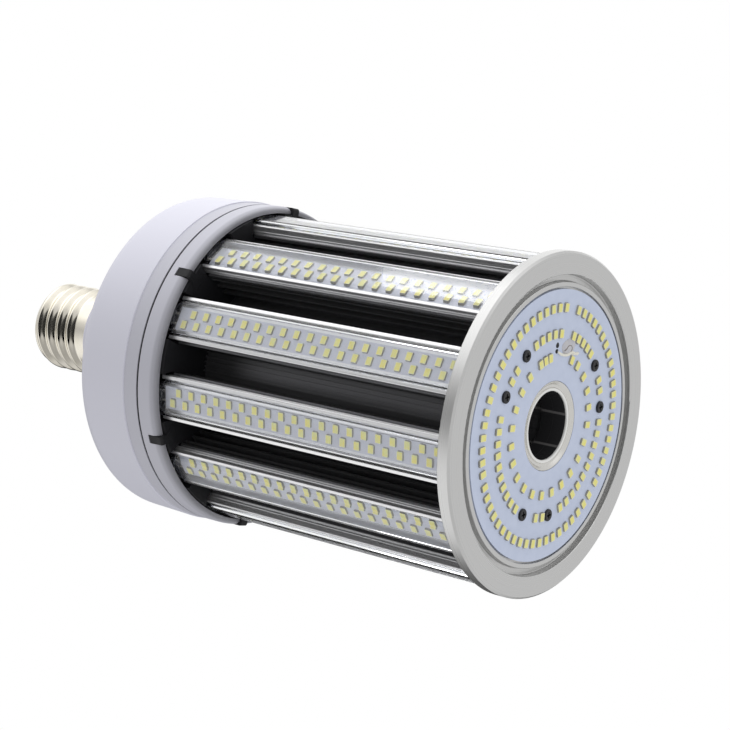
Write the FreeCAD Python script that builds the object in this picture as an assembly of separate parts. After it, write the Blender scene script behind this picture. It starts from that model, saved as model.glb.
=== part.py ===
import FreeCAD, Part
import math
import os

os.makedirs("parts", exist_ok=True)

Vector = FreeCAD.Vector

# A corn lamp: twelve light strips round a finned heat sink, a lit front face, and a driver
# housing with a large screw cap. It stands on its front ring: Z runs from the ring's face, at 0,
# up to the contact of the screw cap. All sizes are in millimetres.

# Strips round the heat sink
strip_count = 12
slot_width = 12.0

# Heat sink, one extrusion
sink_length = 136.7
core_radius = 40.6
core_wall = 4.1
spoke_length = 18.0
vent_radius = 14.3
vent_wall = 2.5
web_thickness = 2.5
spoke_thickness = 3.2
land_thickness = 1.2
fin_thickness = 1.0
fin_pitch = 4.37
first_fin_drop = 3.0
core_rib_height = 1.0
core_rib_width = 0.7
core_rib_pitch = 1.9
core_ribs_each_side = 2
boss_radius = 3.2

# Strip carrier, board and cover
carrier_height = 4.3
carrier_floor = 0.9
carrier_lip_width = 1.68
carrier_taper = 0.78
carrier_flange = 0.5
carrier_side_groove = 0.25
carrier_lip_round = 0.3
strip_tail = 2.3
strip_board_width = 10.0
strip_board_thickness = 1.0
cover_width = 14.8
cover_height = 6.2
cover_wall = 1.0
cover_shoulder = 1.6
cover_end_round = 4.5
cover_tail = 2.3
cover_side_gap = 0.2

# Light emitting diodes
led_long = 3.5
led_wide = 2.8
led_height = 0.78
led_pitch = 6.71
led_row_offset = 2.3
led_end_margin = 3.85

# Front ring, which is also the plate behind the front board
ring_overhang = 2.3
ring_height = 5.3
ring_chamfer = 0.8
ring_face_width = 8.1
ring_face_round = 0.5
ring_groove_width = 2.8
ring_groove_depth = 3.2
ring_lip_width = 1.9
ring_lip_drop = 0.75

# Front board
front_board_drop = 0.95
front_board_thickness = 1.6
front_board_gap = 0.85
front_board_bore_gap = 0.2
outer_leds_inset = 7.05
inner_ring_spacing = 8.7

# Diodes of the outer ring: three groups, each with its first angle and its step in degrees
outer_group_angles = (10.98, -107.52, -227.77)
outer_group_steps = (5.88, 5.93, 5.78)
outer_group_count = 20

# Diodes of the middle ring, clockwise from each screw or from the wires to the next one: the
# way to the first diode, and the step from one to the next
middle_first_ways = (6.54, 5.98, 7.62, 8.52, 9.64, 8.40, 6.85)
middle_steps = (3.97, 4.35, 4.81, 4.57, 4.66, 4.60, 4.66)
led_screw_gap = 0.45
led_wire_gap = 1.1

# Diodes of the inner ring, clockwise from the wires: three close ones, the even ones, and the
# last, counted back from the wires
inner_close_way = 10.39
inner_close_step = 3.29
inner_close_count = 3
inner_even_way = 24.94
inner_even_step = 7.02
inner_even_gap = 10.5
inner_last_way = 5.46

# Vent collar in the middle of the front
collar_wall = 0.8
collar_lip_width = 3.0
collar_lip_height = 1.5
collar_lip_round = 0.3
collar_dish_height = 0.3
collar_dish_slope = 1.5
collar_bead_width = 1.3
collar_bead_height = 0.8
collar_length = 12.5
collar_clearance = 0.1

# Screws at both ends of the heat sink
screw_inset = 0.9
screw_radius = 1.25
screw_length = 12.0
screw_head_radius = 2.4
screw_head_height = 0.85
screw_head_round = 0.35
screw_hole_clearance = 0.45
screw_thread_clearance = 0.05
recess_arm = 1.3
recess_width = 0.7
recess_depth = 0.6

# Wires from the driver to the front board, and the seal where they come out
wire_radius = 0.9
wire_spacing = 2.2
wire_inset = 5.3
wire_angle = 18.6
wire_hole_radius = 2.6
seal_clearance = 0.1
seal_bead_radius = 0.7
seal_bead_circle = 2.6
lead_bend = 6.0

# Rear plate, with a pocket for the end of each strip
plate_overhang = 0.7
plate_web = 3.0
plate_thickness = 8.0
plate_step = 2.1
pocket_clearance = 0.8
pocket_depth_clearance = 0.4
hook_width = 3.6
hook_flare = 7.0
hook_foot_width = 10.6
hook_thickness = 1.4
hook_reach = 7.0
hook_foot = 5.8
hook_root = 1.5
hook_clearance = 0.2
hook_round = 1.2

# Link board behind the rear plate, and the pins that join it to the strips
link_board_thickness = 1.2
link_board_width = 10.0
pin_radius = 0.5
pin_spacing = 4.0
pin_proud = 1.0
pin_hole_clearance = 0.25

# Rim ring of the housing
rim_setback = 1.4
rim_length = 9.1
rim_wall = 2.7
rim_nose_width = 1.1
rim_nose_length = 2.2
rim_nose_round = 1.3
rim_side_round = 5.0
plate_clearance = 0.3
spigot_length = 5.0
spigot_wall = 2.8
spigot_clearance = 0.3

# Gasket between rim and housing
gasket_thickness = 1.1
gasket_drop = 0.4

# Driver housing
housing_wall = 2.5
band_length = 7.0
drum_step = 0.5
drum_length = 24.8
drum_taper = 0.7
drum_round = 6.0
cone_length = 35.6
neck_radius = 24.0
neck_length = 11.0
neck_chamfer = 1.5
neck_fillet = 6.0
nipple_length = 26.0
nipple_wall = 2.2

# Screw cap, with its crests 6.35 apart
cap_root_radius = 17.8
cap_thread_depth = 1.8
cap_thread_pitch = 6.35
cap_crest_count = 4
cap_skirt_length = 14.5
cap_shoulder_length = 4.0
cap_shoulder_width = 3.4
cap_shoulder_round = 0.8
cap_sheet = 0.5
cap_sheet_lean = 0.65
cap_fit = 0.15

# Insulator and contact of the screw cap
insulator_length = 4.4
insulator_top_radius = 11.0
insulator_flange = 2.5
contact_radius = 9.0
contact_height = 2.6
contact_round = 1.8
contact_stem_radius = 2.0

# Driver inside the housing
driver_board_gap = 8.9
driver_board_thickness = 1.6
driver_board_lift = 10.0
standoff_radius = 3.0
standoff_inset = 10.0
standoff_count = 4
transformer_size = (34.0, 28.0)
transformer_height = 24.0
transformer_core_height = 14.0
transformer_place = (-16.0, 14.0)
choke_radius = 11.0
choke_tube = 4.0
choke_place = (22.0, 22.0)
capacitor_radius = 7.0
capacitor_height = 22.0
capacitor_places = ((-24.0, -22.0), (-8.0, -26.0), (8.0, -30.0))
capacitor_vent_width = 0.6
capacitor_vent_depth = 0.4
live_lead_foot = (30.0, -6.0)
neutral_lead_foot = (26.0, -16.0)

# Places that follow from the sizes above
past = 5.0
half_step = math.pi / strip_count
strip_step = 360.0 / strip_count
land_radius = core_radius + spoke_length
sink_start = ring_height
sink_end = sink_start + sink_length
carrier_top = land_radius + carrier_height
carrier_half = cover_width / 2 + cover_side_gap + carrier_lip_width
carrier_base_half = carrier_half - carrier_taper
strip_seat = land_radius + carrier_floor
strip_board_top = strip_seat + strip_board_thickness
strip_end = sink_end + strip_tail
cover_top = land_radius + cover_height
cover_end = strip_end + cover_tail
ring_radius = cover_top + ring_overhang
ring_face_inner = ring_radius - ring_chamfer - ring_face_width
ring_lip_outer = ring_face_inner - ring_groove_width
ring_lip_inner = ring_lip_outer - ring_lip_width
ring_seat = front_board_drop + front_board_thickness
front_board_radius = ring_lip_inner - front_board_gap
screw_circle = core_radius - core_wall - screw_inset
wire_circle = screw_circle - wire_inset
collar_bore = vent_radius - collar_clearance - collar_wall
collar_lip_radius = vent_radius + collar_lip_width
front_board_bore = collar_lip_radius + front_board_bore_gap
plate_radius = cover_top + plate_overhang
plate_back = sink_end + plate_thickness
pocket_end = cover_end + pocket_depth_clearance
plate_recess_radius = land_radius - plate_step
rim_inner = plate_radius + plate_clearance
rim_radius = rim_inner + rim_wall
rim_start = sink_end + rim_setback
rim_end = rim_start + rim_length
spigot_outer = rim_radius - housing_wall - spigot_clearance
spigot_inner = spigot_outer - spigot_wall
housing_start = rim_end + gasket_thickness
band_end = housing_start + band_length
drum_radius = rim_radius + drum_step
drum_end = band_end + drum_length
cone_end = drum_end + cone_length
neck_end = cone_end + neck_length
nipple_radius = cap_root_radius - cap_sheet - cap_fit
nipple_bore = nipple_radius - nipple_wall
cap_last_crest = neck_end + cap_skirt_length + cap_thread_pitch * (cap_crest_count - 1)
cap_end = cap_last_crest + cap_shoulder_length
cap_opening = cap_root_radius - cap_shoulder_width
driver_board_radius = spigot_inner - driver_board_gap
standoff_circle = driver_board_radius - standoff_inset
driver_seat = sink_end + plate_web + driver_board_lift
driver_top = driver_seat + driver_board_thickness


def rounded_edges(corners, closed):
    """Edges through the corners. A corner is (point, radius), and its arc meets both runs."""
    count = len(corners)
    entries = []
    for index, (point, radius) in enumerate(corners):
        inner_corner = closed or 0 < index < count - 1
        if radius == 0 or not inner_corner:
            entries.append((point, None, point))
            continue
        before = corners[index - 1][0] - point
        after = corners[(index + 1) % count][0] - point
        shorter = min(before.Length, after.Length)
        before.normalize()
        after.normalize()
        half_turn = before.getAngle(after) / 2
        reach = min(radius / math.tan(half_turn), 0.49 * shorter)
        radius = reach * math.tan(half_turn)
        to_centre = before + after
        to_centre.normalize()
        middle = point + to_centre * (radius / math.sin(half_turn) - radius)
        entries.append((point + before * reach, middle, point + after * reach))
    edges = []
    for index, (start, middle, end) in enumerate(entries):
        if middle is not None:
            edges.append(Part.Arc(start, middle, end).toShape())
        last = index == count - 1
        following = entries[(index + 1) % count][0]
        if not (last and not closed) and (following - end).Length > 1e-6:
            edges.append(Part.LineSegment(end, following).toShape())
    return edges


def section_face(corners, place):
    """Flat face whose corners are (a, b) or (a, b, radius), put in space by place(a, b)."""
    rounded = []
    for corner in corners:
        radius = corner[2] if len(corner) == 3 else 0
        rounded.append((place(corner[0], corner[1]), radius))
    return Part.Face(Part.Wire(rounded_edges(rounded, True)))


def turned_solid(corners):
    """Solid of revolution about Z from (radius, height) corners."""
    face = section_face(corners, lambda r, z: Vector(r, 0, z))
    return face.revolve(Vector(0, 0, 0), Vector(0, 0, 1), 360)


def upright_prism(corners, low, high):
    """Prism along Z from (x, y) corners."""
    face = section_face(corners, lambda x, y: Vector(x, y, low))
    return face.extrude(Vector(0, 0, high - low))


def disc(radius, low, high, x=0, y=0):
    """Round bar along Z."""
    return Part.makeCylinder(radius, high - low, Vector(x, y, low))


def tube(inner, outer, low, high):
    """Plain ring about Z."""
    return disc(outer, low, high).cut(disc(inner, low - 1, high + 1))


def at_angle(shape, degrees):
    """Copy of the shape, turned about Z."""
    copy = shape.copy()
    copy.rotate(Vector(0, 0, 0), Vector(0, 0, 1), degrees)
    return copy


def moved(shape, x, y, z):
    """Copy of the shape, shifted."""
    copy = shape.copy()
    copy.translate(Vector(x, y, z))
    return copy


def polar(radius, degrees):
    """X and Y of a point from its radius and angle."""
    angle = math.radians(degrees)
    return radius * math.cos(angle), radius * math.sin(angle)


def discs_on_circle(angles, circle, radius, low, high):
    """Round bars along Z, on a circle at the angles."""
    bars = []
    for degrees in angles:
        x, y = polar(circle, degrees)
        bars.append(disc(radius, low, high, x, y))
    return bars


def screw_angles():
    """Screws stand in pairs under the third and fourth strip of every four."""
    return [index * strip_step for index in range(strip_count) if index % 4 >= 2]


def hook_angles():
    """Hooks stand in every second gap between strips."""
    return [(2 * index + 0.5) * strip_step for index in range(strip_count // 2)]


def web_angles():
    """Core webs stand under the gaps that have no hook."""
    return [(2 * index + 1.5) * strip_step for index in range(strip_count // 2)]


def slot_side(radius):
    """Half width of a fin at this distance from the axis: its tip lies on the slot's side."""
    return (radius * math.sin(half_step) - slot_width / 2) / math.cos(half_step)


def tree_outline():
    """One spoke with its fins and the land on top, from one foot to the other."""
    side = spoke_thickness / 2
    levels = []
    level = land_radius - first_fin_drop
    lowest = core_radius + core_rib_height
    while level - fin_thickness > lowest:
        levels.insert(0, level)
        level -= fin_pitch
    rising = [(math.sqrt(core_radius ** 2 - side ** 2), side)]
    for level in levels:
        under = level - fin_thickness / 2
        over = level + fin_thickness / 2
        rising.append((under, side))
        rising.append((under, slot_side(under)))
        rising.append((over, slot_side(over)))
        rising.append((over, side))
    under = land_radius - land_thickness
    rising.append((under, side))
    rising.append((under, slot_side(under)))
    rising.append((land_radius, slot_side(land_radius)))
    left = [(n, -t) for n, t in rising]
    return left + rising[::-1]


def floor_outline():
    """Small ribs on the core between two spokes."""
    points = []
    for index in range(-core_ribs_each_side, core_ribs_each_side + 1):
        for side, high in ((-1, False), (-1, True), (1, True), (1, False)):
            x = index * core_rib_pitch + side * core_rib_width / 2
            foot = math.sqrt(core_radius ** 2 - x ** 2)
            points.append((foot + (core_rib_height if high else 0), x))
    return points


def sink_outline():
    """Outline of the whole extrusion, one tree and one stretch of core per strip."""
    points = []
    for index in range(strip_count):
        for outline, turn in ((tree_outline(), 0), (floor_outline(), half_step)):
            angle = math.radians(index * strip_step) + turn
            for n, t in outline:
                x = n * math.cos(angle) - t * math.sin(angle)
                y = n * math.sin(angle) + t * math.cos(angle)
                points.append((x, y))
    return points


def make_heat_sink():
    """Finned extrusion with a hollow core, a vent tube and screw bosses."""
    body = upright_prism(sink_outline(), sink_start, sink_end)
    hollow = tube(vent_radius + vent_wall, core_radius - core_wall, sink_start - 1, sink_end + 1)
    web_reach = core_radius - core_wall
    web = Part.makeBox(web_reach, web_thickness, sink_length + 2 * past,
                       Vector(0, -web_thickness / 2, sink_start - past))
    webs = [at_angle(web, degrees) for degrees in web_angles()]
    bosses = discs_on_circle(screw_angles(), screw_circle, boss_radius, sink_start - 2, sink_end + 2)
    hollow = hollow.cut(webs + bosses)
    hole = screw_radius + screw_thread_clearance
    holes = discs_on_circle(screw_angles(), screw_circle, hole, sink_start - 1, sink_end + 1)
    vent = disc(vent_radius, sink_start - 1, sink_end + 1)
    return body.cut([hollow, vent] + holes)


def strip_place(n, t, z):
    """Point of a strip at angle 0: n from the axis, t sideways."""
    return Vector(n, t, z)


def make_carrier():
    """Channel that carries one board: floor, two lips, and two grooves along each side."""
    base = land_radius
    top = carrier_top
    flange = base + carrier_flange
    groove = carrier_side_groove
    slope = carrier_taper / (carrier_height - carrier_flange)

    def side(n):
        return carrier_base_half + slope * (n - flange)

    narrow = flange + 0.4
    wide_start = flange + 1.1
    wide_end = flange + 2.5
    inner = cover_width / 2 + cover_side_gap
    half = [
        (base, carrier_base_half),
        (flange, carrier_base_half),
        (flange, carrier_base_half - groove),
        (narrow, carrier_base_half - groove),
        (narrow, side(narrow)),
        (wide_start, side(wide_start)),
        (wide_start, side(wide_start) - groove),
        (wide_end, side(wide_end) - groove),
        (wide_end, side(wide_end)),
        (top, carrier_half, carrier_lip_round),
        (top, inner, carrier_lip_round),
        (strip_seat, inner),
    ]
    other = [(corner[0], -corner[1]) + tuple(corner[2:]) for corner in half[::-1]]
    face = section_face(half + other, lambda n, t: strip_place(n, t, sink_start))
    return face.extrude(Vector(0, 0, strip_end - sink_start))


def make_strip_board():
    """Narrow aluminium circuit board of one strip."""
    length = strip_end - sink_start
    corner = Vector(strip_seat, -strip_board_width / 2, sink_start)
    return Part.makeBox(strip_board_thickness, strip_board_width, length, corner)


def cover_block(inset, start, end):
    """Outside of a cover, or with an inset the space inside it."""
    half = cover_width / 2 - inset
    top = cover_top - inset
    foot = strip_seat - (1 if inset else 0)
    corners = [
        (foot, -half),
        (foot, half),
        (top, half, cover_shoulder - inset / 2),
        (top, -half, cover_shoulder - inset / 2),
    ]
    face = section_face(corners, lambda n, t: strip_place(n, t, start))
    block = face.extrude(Vector(0, 0, end - start))
    plan = [
        (-half, start),
        (half, start),
        (half, end, cover_end_round - inset),
        (-half, end, cover_end_round - inset),
    ]
    low = foot - 1
    outline = section_face(plan, lambda t, z: strip_place(low, t, z))
    return block.common(outline.extrude(Vector(cover_top - low + 1, 0, 0)))


def make_cover():
    """Clear cover of one strip: open under it and at the ring, closed and rounded at its end."""
    outside = cover_block(0, sink_start, cover_end)
    inside = cover_block(cover_wall, sink_start - 1, cover_end - cover_wall)
    slot_half = (pin_spacing + 4 * pin_radius) / 2
    slot_top = strip_board_top + pin_radius
    wire_slot = Part.makeBox(slot_top - strip_seat + 1, 2 * slot_half, 3 * cover_wall,
                             Vector(strip_seat - 1, -slot_half, cover_end - 2 * cover_wall))
    return outside.cut([inside, wire_slot])


def make_strip_leds():
    """Two staggered rows of diodes on every strip."""
    usable = strip_end - sink_start - 2 * led_end_margin - led_pitch / 2
    per_row = int(usable / led_pitch) + 1
    first = sink_start + led_end_margin
    row = []
    for index in range(per_row):
        for side, shift in ((1, 0), (-1, led_pitch / 2)):
            z = first + shift + index * led_pitch - led_wide / 2
            y = side * led_row_offset - led_long / 2
            row.append(Part.makeBox(led_height, led_long, led_wide, Vector(strip_board_top, y, z)))
    one_strip = Part.makeCompound(row)
    strips = [at_angle(one_strip, index * strip_step) for index in range(strip_count)]
    leds = []
    for strip in strips:
        leds.extend(strip.Solids)
    return Part.makeCompound(leds)


def make_front_ring():
    """Turned ring with a plate behind the board, a groove and a thin lip round the board."""
    corners = [
        (vent_radius, ring_seat),
        (ring_lip_inner, ring_seat),
        (ring_lip_inner, ring_lip_drop, 0.2),
        (ring_lip_outer, ring_lip_drop, 0.5),
        (ring_lip_outer, ring_groove_depth, 0.4),
        (ring_face_inner, ring_groove_depth, 0.4),
        (ring_face_inner, 0, ring_face_round),
        (ring_radius - ring_chamfer, 0),
        (ring_radius, ring_chamfer),
        (ring_radius, ring_height, 0.3),
        (vent_radius, ring_height),
    ]
    return turned_solid(corners).cut(front_holes(ring_seat - 1, ring_height + 1))


def front_holes(low, high):
    """Screw holes and the wire hole, through the front ring's plate and the board."""
    hole = screw_radius + screw_hole_clearance
    holes = discs_on_circle(screw_angles(), screw_circle, hole, low, high)
    x, y = polar(wire_circle, wire_angle)
    return holes + [disc(wire_hole_radius, low, high, x, y)]


def make_front_board():
    """Round aluminium circuit board behind the front face."""
    board = tube(front_board_bore, front_board_radius, front_board_drop, ring_seat)
    return board.cut(front_holes(front_board_drop - 1, ring_seat + 1))


def outer_led_angles():
    """Angles of the outer ring's diodes, group by group."""
    angles = []
    for first, step in zip(outer_group_angles, outer_group_steps):
        angles.extend([first - index * step for index in range(outer_group_count)])
    return angles


def led_marks():
    """Angles that the middle ring's diodes keep clear of, clockwise, each with its half width."""
    marks = [(degrees, screw_head_radius + led_screw_gap) for degrees in screw_angles()]
    marks.append((wire_angle, led_wire_gap + seal_bead_radius))
    from_first = screw_angles()[0]
    return sorted(marks, key=lambda mark: (from_first - mark[0]) % 360)


def middle_led_angles():
    """Angles of the middle ring's diodes: as many as fit from each mark to the next."""
    marks = led_marks()
    degrees_per_length = 360 / (2 * math.pi * screw_circle)
    angles = []
    for index, (mark, _) in enumerate(marks):
        following, half_width = marks[(index + 1) % len(marks)]
        way = ((mark - following) % 360) / degrees_per_length
        first = middle_first_ways[index]
        step = middle_steps[index]
        free = way - first - half_width - led_wide / 2
        for place in range(math.floor(free / step) + 1):
            angles.append(mark - (first + place * step) * degrees_per_length)
    return angles


def inner_led_angles(circle):
    """Angles of the inner ring's diodes."""
    degrees_per_length = 360 / (2 * math.pi * circle)
    ways = [inner_close_way + index * inner_close_step for index in range(inner_close_count)]
    free = 360 / degrees_per_length - inner_even_way - inner_even_gap
    for index in range(math.floor(free / inner_even_step) + 1):
        ways.append(inner_even_way + index * inner_even_step)
    ways.append(-inner_last_way)
    return [wire_angle - way * degrees_per_length for way in ways]


def make_front_leds():
    """Three rings of diodes on the front board."""
    outer_circle = front_board_radius - outer_leds_inset
    inner_circle = screw_circle - inner_ring_spacing
    rings = (
        (outer_circle, outer_led_angles()),
        (screw_circle, middle_led_angles()),
        (inner_circle, inner_led_angles(inner_circle)),
    )
    low = front_board_drop - led_height
    leds = []
    for circle, angles in rings:
        led = Part.makeBox(led_long, led_wide, led_height,
                           Vector(circle - led_long / 2, -led_wide / 2, low))
        leds.extend([at_angle(led, degrees) for degrees in angles])
    return Part.makeCompound(leds)


def make_screw():
    """Pan head screw at the origin, head below and shank up, with a cross recess."""
    corners = [
        (0, -screw_head_height),
        (screw_head_radius, -screw_head_height, screw_head_round),
        (screw_head_radius, 0),
        (screw_radius, 0),
        (screw_radius, screw_length),
        (0, screw_length),
    ]
    bar = Part.makeBox(2 * recess_arm, recess_width, recess_depth,
                       Vector(-recess_arm, -recess_width / 2, -screw_head_height))
    return turned_solid(corners).cut([bar, at_angle(bar, 90)])


def make_sink_screws():
    """Screws into both ends of the heat sink, through the front board and the rear plate."""
    front = make_screw()
    rear = front.copy()
    rear.rotate(Vector(0, 0, 0), Vector(1, 0, 0), 180)
    screws = []
    for degrees in screw_angles():
        x, y = polar(screw_circle, degrees)
        screws.append(moved(front, x, y, front_board_drop))
        screws.append(moved(rear, x, y, sink_end + plate_web))
    return Part.makeCompound(screws)


def make_vent_collar():
    """Polished eyelet in the mouth of the vent: a dished lip up to the board, a bead inside."""
    outer = vent_radius - collar_clearance
    bead_side = collar_bore + collar_bead_width
    bead_front = ring_seat - collar_bead_height
    dish = ring_seat - collar_dish_height
    lip_front = ring_seat - collar_lip_height
    corners = [
        (collar_bore, bead_front, collar_lip_round),
        (bead_side, bead_front, collar_lip_round),
        (bead_side, dish, collar_lip_round / 2),
        (collar_lip_radius - collar_dish_slope, dish, collar_lip_round),
        (collar_lip_radius - collar_lip_round, lip_front, collar_lip_round),
        (collar_lip_radius, lip_front),
        (collar_lip_radius, ring_seat),
        (outer, ring_seat),
        (outer, lip_front + collar_length),
        (collar_bore, lip_front + collar_length),
    ]
    return turned_solid(corners)


def wire_spots():
    """Middle of each of the two wires in the core."""
    spots = []
    for side in (-0.5, 0.5):
        x, y = polar(wire_circle, wire_angle)
        dx, dy = polar(side * wire_spacing, wire_angle + 90)
        spots.append((x + dx, y + dy))
    return spots


def make_wire_seal():
    """Silicone plug in the wire hole, with a bead on the board round it."""
    x, y = polar(wire_circle, wire_angle)
    plug = disc(wire_hole_radius - seal_clearance, front_board_drop, ring_height, x, y)
    bead = Part.makeTorus(seal_bead_circle, seal_bead_radius, Vector(x, y, front_board_drop))
    middle = disc(seal_bead_circle, front_board_drop - seal_bead_radius / 2, front_board_drop, x, y)
    outside = disc(3 * seal_bead_circle, front_board_drop - 2, front_board_drop, x, y)
    seal = plug.fuse([bead.common(outside), middle]).removeSplitter()
    wires = [disc(wire_radius, ring_seat, ring_height + 1, wx, wy) for wx, wy in wire_spots()]
    return seal.cut(wires)


def make_pocket():
    """Space for the end of one strip in the rear plate."""
    half = carrier_half + pocket_clearance
    low = land_radius - pocket_clearance
    return Part.makeBox(plate_radius - low + past, 2 * half, pocket_end - sink_end + 1,
                        Vector(low, -half, sink_end - 1))


def make_hook():
    """Latch hook at angle 0: flared foot on the plate, over the rim's front, back along its side."""
    front = rim_start - hook_clearance - hook_thickness
    inner = rim_radius - hook_thickness
    foot = plate_radius - hook_foot
    root = sink_end + hook_root
    corners = [
        (foot, root),
        (foot + 1, front, 0.4),
        (rim_radius, front, hook_round),
        (rim_radius, sink_end + hook_reach, 0.4),
        (inner, sink_end + hook_reach),
        (inner, rim_start - hook_clearance),
        (plate_radius - 0.1, rim_start - hook_clearance),
        (plate_radius - 0.1, root),
    ]
    face = section_face(corners, lambda r, z: Vector(r, -hook_foot_width / 2, z))
    wide = face.extrude(Vector(0, hook_foot_width, 0))
    arm = hook_width / 2
    spread = arm + 2.1 * hook_flare
    far = foot + 2.1 * hook_flare
    flare = [
        (foot - past, -spread),
        (foot, -spread),
        (foot, -arm, hook_flare),
        (far, -arm),
        (far, arm),
        (foot, arm, hook_flare),
        (foot, spread),
        (foot - past, spread),
    ]
    return wide.common(upright_prism(flare, front - past, sink_end + hook_reach + past))


def pin_spots():
    """Radius and angle of the two pins of every strip."""
    middle = strip_seat + strip_board_thickness / 2
    spread = math.degrees(math.atan2(pin_spacing / 2, middle))
    circle = math.hypot(middle, pin_spacing / 2)
    spots = []
    for index in range(strip_count):
        spots.append((circle, index * strip_step - spread))
        spots.append((circle, index * strip_step + spread))
    return spots


def pin_bars(radius, low, high):
    """Round bars at all the pins."""
    bars = []
    for circle, degrees in pin_spots():
        x, y = polar(circle, degrees)
        bars.append(disc(radius, low, high, x, y))
    return bars


def make_rear_plate():
    """Moulded plate that closes the heat sink, with strip pockets and latch hooks."""
    plate = disc(plate_radius, sink_end, plate_back)
    recess = disc(plate_recess_radius, sink_end + plate_web, plate_back + 1)
    pockets = [at_angle(make_pocket(), index * strip_step) for index in range(strip_count)]
    hole = screw_radius + screw_hole_clearance
    low = sink_end - 1
    holes = discs_on_circle(screw_angles(), screw_circle, hole, low, plate_back)
    x, y = polar(wire_circle, wire_angle)
    holes.append(disc(wire_hole_radius, low, plate_back, x, y))
    holes.extend(pin_bars(pin_radius + pin_hole_clearance, low, plate_back + 1))
    hooks = [at_angle(make_hook(), degrees) for degrees in hook_angles()]
    return plate.cut([recess] + pockets + holes).fuse(hooks).removeSplitter()


def make_link_board():
    """Ring circuit board that joins the strips, on the rear plate."""
    middle = strip_seat + strip_board_thickness / 2
    inner = middle - link_board_width * 0.6
    outer = min(middle + link_board_width * 0.4, spigot_inner - plate_clearance)
    high = plate_back + link_board_thickness
    board = tube(inner, outer, plate_back, high)
    return board.cut(pin_bars(pin_radius + seal_clearance, plate_back - 1, high + 1))


def make_strip_pins():
    """Pins from the end of every strip's board, through the rear plate, to the link board."""
    high = plate_back + link_board_thickness + pin_proud
    return Part.makeCompound(pin_bars(pin_radius, strip_end, high))


def make_housing_rim():
    """Front ring of the housing: round nose, a ledge on the rear plate, and a spigot."""
    corners = [
        (rim_inner, rim_start),
        (rim_radius - rim_nose_width, rim_start, rim_nose_round),
        (rim_radius, rim_start + rim_nose_length, rim_side_round),
        (rim_radius, rim_end),
        (spigot_outer, rim_end),
        (spigot_outer, rim_end + spigot_length),
        (spigot_inner, rim_end + spigot_length),
        (spigot_inner, plate_back),
        (rim_inner, plate_back),
    ]
    notch_floor = rim_radius - hook_thickness - hook_clearance
    notch_end = sink_end + hook_reach + hook_clearance
    notch_half = hook_width / 2 + hook_clearance
    notch = Part.makeBox(past, 2 * notch_half, notch_end - rim_start + 1,
                         Vector(notch_floor, -notch_half, rim_start - 1))
    notches = [at_angle(notch, degrees) for degrees in hook_angles()]
    return turned_solid(corners).cut(notches)


def make_gasket():
    """Flat rubber ring between the rim and the housing."""
    inner = spigot_outer + spigot_clearance / 2
    return tube(inner, rim_radius - gasket_drop, rim_end, housing_start)


def make_housing():
    """Moulded drum that narrows to a neck, with a nipple that carries the screw cap."""
    inner = rim_radius - housing_wall
    fold = housing_wall * 0.4
    corners = [
        (inner, housing_start),
        (rim_radius, housing_start),
        (rim_radius, band_end, 0.2),
        (drum_radius, band_end, 0.2),
        (drum_radius - drum_taper, drum_end, drum_round),
        (neck_radius, cone_end, neck_fillet),
        (neck_radius, neck_end, neck_chamfer),
        (nipple_radius, neck_end),
        (nipple_radius, neck_end + nipple_length),
        (nipple_bore, neck_end + nipple_length),
        (nipple_bore, cone_end - housing_wall),
        (inner, drum_end - housing_wall - fold, drum_round),
    ]
    return turned_solid(corners)


def crest_corners(inset, low):
    """Rolled crests from the skirt up, each a rounded bulge of the sheet."""
    corners = []
    crest = cap_root_radius + cap_thread_depth - inset
    root = cap_root_radius - inset
    quarter = cap_thread_pitch / 4
    lean = cap_sheet_lean * inset
    for index in range(cap_crest_count):
        middle = low + cap_skirt_length + cap_thread_pitch * index
        corners.append((root, middle - quarter + lean, 1.2))
        corners.append((crest, middle - quarter / 2 + lean, 1.0))
        corners.append((crest, middle + quarter / 2 - lean, 1.0))
        corners.append((root, middle + quarter - lean, 1.2))
    return corners


def make_cap_shell():
    """Rolled sheet shell of the screw cap: past the last crest the sheet turns in over the glass."""
    outside = [(cap_root_radius, neck_end)]
    outside.extend(crest_corners(0, neck_end))
    outside.append((cap_root_radius, cap_end, cap_shoulder_round))
    outside.append((cap_opening, cap_end))
    inside = [(cap_root_radius - cap_sheet, neck_end)]
    inside.extend(crest_corners(cap_sheet, neck_end))
    inside.append((cap_root_radius - cap_sheet, cap_end - cap_sheet, cap_shoulder_round))
    inside.append((cap_opening, cap_end - cap_sheet))
    return turned_solid(outside + inside[::-1])


def make_insulator():
    """Glass disc in the end of the cap: a flange inside and a cone outside."""
    under = cap_end - cap_sheet
    flange_radius = cap_opening + cap_shoulder_width / 3
    corners = [
        (contact_stem_radius, under - insulator_flange),
        (flange_radius, under - insulator_flange),
        (flange_radius, under),
        (cap_opening, under),
        (cap_opening, cap_end + 0.6, 0.5),
        (insulator_top_radius, under + insulator_length, 0.6),
        (contact_stem_radius, under + insulator_length),
    ]
    return turned_solid(corners)


def make_contact():
    """Centre contact: a domed disc on the insulator, with a stem through it."""
    seat = cap_end - cap_sheet + insulator_length
    stem_end = cap_end - cap_sheet - insulator_flange - 1
    corners = [
        (0, stem_end),
        (contact_stem_radius, stem_end),
        (contact_stem_radius, seat),
        (contact_radius, seat),
        (contact_radius, seat + contact_height, contact_round),
        (0, seat + contact_height),
    ]
    return turned_solid(corners)


def make_driver_board():
    """Round circuit board of the driver, on its posts."""
    board = disc(driver_board_radius, driver_seat, driver_top)
    x, y = polar(wire_circle, wire_angle)
    gap = disc(wire_hole_radius, driver_seat - 1, driver_top + 1, x, y)
    return board.cut(gap)


def make_standoffs():
    """Posts between the rear plate and the driver board."""
    angles = [45 + index * 360.0 / standoff_count for index in range(standoff_count)]
    low = sink_end + plate_web
    return Part.makeCompound(
        discs_on_circle(angles, standoff_circle, standoff_radius, low, driver_seat))


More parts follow.
